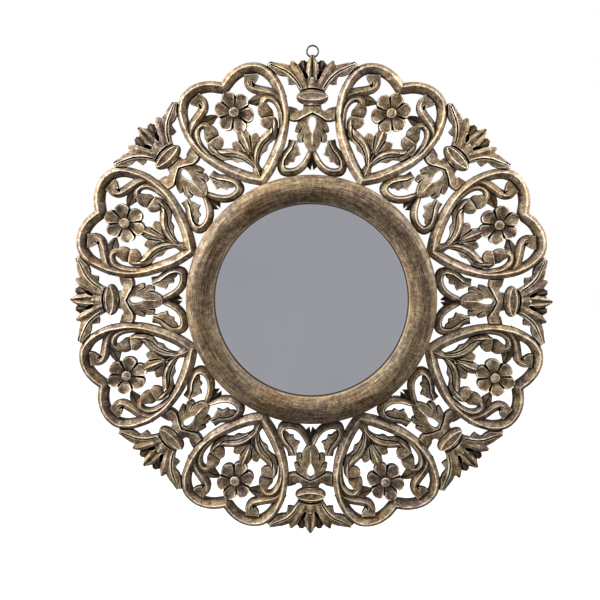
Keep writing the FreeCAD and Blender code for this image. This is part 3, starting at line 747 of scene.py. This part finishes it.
def driven(name, mesh, spots, paint, node):
    """Put a screw in each of its holes."""
    bm = bmesh.new()
    for i, (x, z) in enumerate(spots):
        one = mesh.copy()
        stand = Matrix(((mm, 0, 0, x), (0, 0, -mm, 0), (0, mm, 0, z), (0, 0, 0, 1)))
        one.transform(stand @ Matrix.Rotation(0.4 + 0.7 * i, 4, "Z"))
        bm.from_mesh(one)
        bpy.data.meshes.remove(one)
    joined = bpy.data.meshes.new(name)
    bm.to_mesh(joined)
    bm.free()
    bpy.data.meshes.remove(mesh)
    for face in joined.polygons:
        face.use_smooth = True
    joined.set_sharp_from_angle(angle=turned_edge)
    joined.materials.append(paint)
    piece = bpy.data.objects.new(name, joined)
    bpy.context.scene.collection.objects.link(piece)
    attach(piece, "frame")
    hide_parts(node)


zinc = plain("zinc", deep=(0.4, 0.39, 0.36), light=(0.6, 0.59, 0.56), scale=500, metal=1, rough=0.36, grain=1500)
turns = [2 * math.pi / board_screws * (i + 0.5) for i in range(board_screws)]
driven("countersunk_screws", screw(countersunk, 0),
       [(screw_ring_r * math.sin(t), screw_ring_r * math.cos(t)) for t in turns],
       zinc, "backing_screws")

# Hanger: a strap of dark steel behind the top crown, rolled at its end into an eye, and a wire ring that swings
# in the eye. Both have the blue-black skin of hardened steel, a little rubbed.
dark_steel = plain("dark_steel", deep=(0.02, 0.021, 0.024), light=(0.055, 0.056, 0.06), scale=400, metal=0.6,
                   rough=0.46, grain=1600)
finished("hanger_strap", dark_steel)
finished("hanger_ring", dark_steel)

# Two pan head screws of the same zinc-plated steel hold the strap to the back of the crown. Their heads stand
# on the strap, one above the other.
head_face = -2.4
pan_head = [(0, head_face), (1.7, head_face), (2.4, -2.1), (2.6, -1.6), (2.6, -1), (1.3, -1), (1.3, 4), (0, 5)]
driven("pan_head_screws", screw(pan_head, head_face), [(0, 0.2748), (0, 0.2858)], zinc,
       "hanger_screws")

# Studio floor: a plain pale sheet well below the mirror, white to the camera. It takes the mirror's shadow and
# gives a little soft light back from below.
floor_drop = -0.9
floor_mesh = bpy.data.meshes.new("floor")
bm = bmesh.new()
bmesh.ops.create_grid(bm, x_segments=1, y_segments=1, size=6)
bmesh.ops.translate(bm, verts=bm.verts, vec=(0, 0, floor_drop))
bm.to_mesh(floor_mesh)
bm.free()
floor = bpy.data.objects.new("floor", floor_mesh)
bpy.context.scene.collection.objects.link(floor)
pale = bpy.data.materials.new("pale_floor")
pale.use_nodes = True
shader = pale.node_tree.nodes["Principled BSDF"]
shader.inputs["Base Color"].default_value = (0.4, 0.4, 0.4, 1)
shader.inputs["Emission Color"].default_value = (1, 1, 1, 1)
path = pale.node_tree.nodes.new("ShaderNodeLightPath")
level = pale.node_tree.nodes.new("ShaderNodeMath")
level.operation = "MULTIPLY"
level.inputs[1].default_value = 0.95
pale.node_tree.links.new(path.outputs["Is Camera Ray"], level.inputs[0])
pale.node_tree.links.new(level.outputs[0], shader.inputs["Emission Strength"])
floor_mesh.materials.append(pale)

# Grey card: an even grey sheet that stands before the mirror, out of the picture. Only the glass and the gloss
# show it, as the dim room that a mirror looks into.
card_away = -3
card_mesh = bpy.data.meshes.new("grey_card")
bm = bmesh.new()
bmesh.ops.create_grid(bm, x_segments=1, y_segments=1, size=4)
bmesh.ops.rotate(bm, cent=(0, 0, 0), matrix=Matrix.Rotation(math.pi / 2, 3, "X"), verts=bm.verts)
bmesh.ops.translate(bm, verts=bm.verts, vec=(0, card_away, 0))
bm.to_mesh(card_mesh)
bm.free()
card = bpy.data.objects.new("grey_card", card_mesh)
bpy.context.scene.collection.objects.link(card)
card.visible_camera = False
card.visible_diffuse = False
card.visible_shadow = False
grey = bpy.data.materials.new("card_grey")
grey.use_nodes = True
grey.node_tree.nodes.remove(grey.node_tree.nodes["Principled BSDF"])
glow = grey.node_tree.nodes.new("ShaderNodeEmission")
glow.inputs["Color"].default_value = (0.346, 0.351, 0.383, 1)
grey.node_tree.links.new(glow.outputs[0], grey.node_tree.nodes["Material Output"].inputs["Surface"])
card_mesh.materials.append(grey)

# White surround: full white to the camera and in reflections, and only a faint fill light on the mirror itself,
# so that the carving keeps its shadows.
world = bpy.data.worlds.new("studio")
bpy.context.scene.world = world
world.use_nodes = True
nodes, links = world.node_tree.nodes, world.node_tree.links
sky = nodes["Background"]
sky.inputs["Color"].default_value = (1, 1, 1, 1)
path = nodes.new("ShaderNodeLightPath")
seen = nodes.new("ShaderNodeMath")
seen.operation = "ADD"
links.new(path.outputs["Is Camera Ray"], seen.inputs[0])
links.new(path.outputs["Is Glossy Ray"], seen.inputs[1])
level = nodes.new("ShaderNodeMapRange")
level.inputs["To Min"].default_value = 0.03
level.inputs["To Max"].default_value = 1.0
links.new(seen.outputs[0], level.inputs["Value"])
links.new(level.outputs["Result"], sky.inputs["Strength"])

# Four soft lamps: two low over the face from the upper left and the right, which model the relief, a weak one in
# front, and one behind for the back. Each has a place, a width in metres and a power in watts.
lamps = (("left", (-1.17, -0.18, 0.76), 0.5, 88), ("right", (0.86, -0.05, 0.57), 0.35, 34),
         ("front", (-0.3, -2.2, 1.4), 1.2, 7), ("behind", (0.6, 2.0, 0.8), 1.2, 14))
for name, spot, size, power in lamps:
    lamp = bpy.data.lights.new(name, "AREA")
    lamp.size = size
    lamp.energy = power
    holder = bpy.data.objects.new(name, lamp)
    holder.location = spot
    holder.rotation_euler = (Vector((0, 0, 0)) - Vector(spot)).to_track_quat("-Z", "Y").to_euler()
    bpy.context.scene.collection.objects.link(holder)

# Camera at the photograph's viewing angle, a little above the mirror's centre. The picture is 600 dots wide, and
# a dot is 1.265 mm at the mirror.
dots = 600
dot_mm = 1.265
away = 1.405
face_y = -0.01
tilt = math.radians(7.55)
roll = math.radians(0.27)
lens = bpy.data.cameras.new("camera")
lens.sensor_width = 36
lens.lens = lens.sensor_width / 2 / (dots / 2 * dot_mm / (away / mm))
lens.shift_x = -11.44 / dots
lens.shift_y = 1.2 / dots
camera = bpy.data.objects.new("camera", lens)
camera.location = (0, face_y - away * math.cos(tilt), away * math.sin(tilt))
camera.rotation_euler = (Matrix.Rotation(math.pi / 2 - tilt, 3, "X") @ Matrix.Rotation(roll, 3, "Z")).to_euler()
bpy.context.scene.collection.objects.link(camera)
bpy.context.scene.camera = camera
bpy.context.scene.view_settings.view_transform = "Standard"
